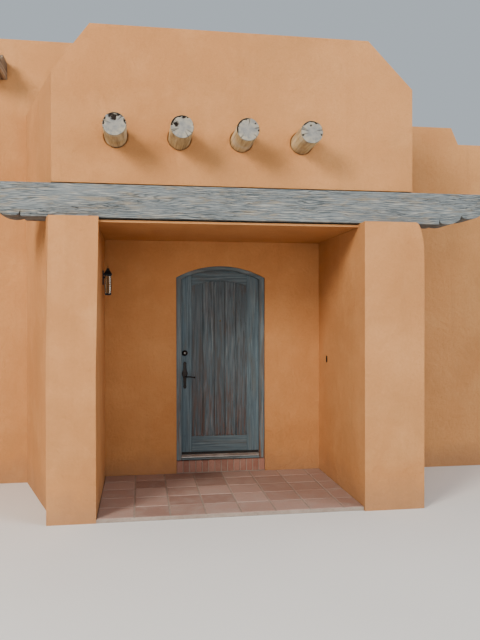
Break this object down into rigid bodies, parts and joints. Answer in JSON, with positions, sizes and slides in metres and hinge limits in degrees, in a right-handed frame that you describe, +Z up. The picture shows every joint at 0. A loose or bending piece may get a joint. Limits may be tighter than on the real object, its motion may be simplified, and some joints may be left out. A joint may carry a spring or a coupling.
{
  "type": "adobe house",
  "caption": "Flat-roofed adobe house with parapets, a deep entry alcove under a scalloped timber beam, projecting roof logs and an arched plank door.",
  "frame": {"origin": "on the ground, under the middle of the house's overall box", "axes": "+X along the front from left to right, +Y from the front into the house, +Z up"},
  "size_m": [10.4, 8.64, 4.9],
  "materials": {
    "stucco": "hand-trowelled sand-finish stucco, matt, warm orange buff",
    "beam_wood": "weathered grey timber with open grain and knots",
    "timber": "stained rough-sawn timber",
    "roofing": "pale mineral roof coating, matt",
    "clay_tile": "unglazed clay floor tiles with sandy joints",
    "brick": "reddish brick step, matt",
    "threshold_metal": "dull worn aluminium sill strip",
    "door_wood": "weathered blue-grey stained planks, brown wood showing low down",
    "iron": "blackened wrought iron, satin",
    "viewer_metal": "dull aged brass",
    "log_wood": "peeled log, sun-bleached, with cracked grey ends",
    "window_wood": "painted timber, weathered blue grey",
    "window_glass": "clear window glass",
    "drain_wood": "weathered timber trough with a metal lip",
    "lantern_metal": "dark painted metal, satin"
  },
  "bodies": {
    "house": {"entry_parapet_wall": "stucco", "entry_pier_left": "stucco", "entry_pier_right": "stucco", "entry_wall_left": "stucco", "entry_wall_right": "stucco", "alcove_wall_left": "stucco", "alcove_wall_right": "stucco", "alcove_wall_over_door": "stucco", "alcove_ceiling": "stucco", "front_wall_upper": "stucco", "front_wall_left": "stucco", "front_wall_right": "stucco", "wing_front_wall": "stucco", "wing_side_wall": "stucco", "wing_back_wall": "stucco", "side_wall_left": "stucco", "back_wall": "stucco", "roof_step_wall": "stucco", "entry_beam": "beam_wood", "roof_step_beam": "timber", "window_lintels": "timber", "entry_roof": "roofing", "main_roof": "roofing", "wing_roof": "roofing", "porch_floor": "clay_tile", "floor_slab": "clay_tile", "door_step": "brick", "door_threshold": "threshold_metal", "door_frame": "door_wood", "door_hinges": "iron", "doorbell": "iron", "roof_log_1": "log_wood", "roof_log_2": "log_wood", "roof_log_3": "log_wood", "roof_log_4": "log_wood", "window_frames": "window_wood", "window_glass": "window_glass", "roof_drain_front": "drain_wood", "roof_drains": "drain_wood", "porch_lantern": "lantern_metal"},
    "door": {"front_door": "door_wood", "door_escutcheon": "iron", "door_deadbolt": "iron", "door_peephole": "viewer_metal"},
    "lever": {"door_lever": "iron"}
  },
  "joints": [
    {"name": "door_swing", "type": "hinge", "parent": "house", "child": "door", "pos_m": [0.481, -2.364, 1.3], "axis": [0, 0, -1], "range_deg": [0, 90]},
    {"name": "lever_turn", "type": "hinge", "parent": "door", "child": "lever", "pos_m": [-0.415, -2.425, 1.14], "axis": [0, 1, 0], "range_deg": [0, 45], "stiffness_Nm_per_rad": 2, "springref_deg": -22.92}
  ]
}
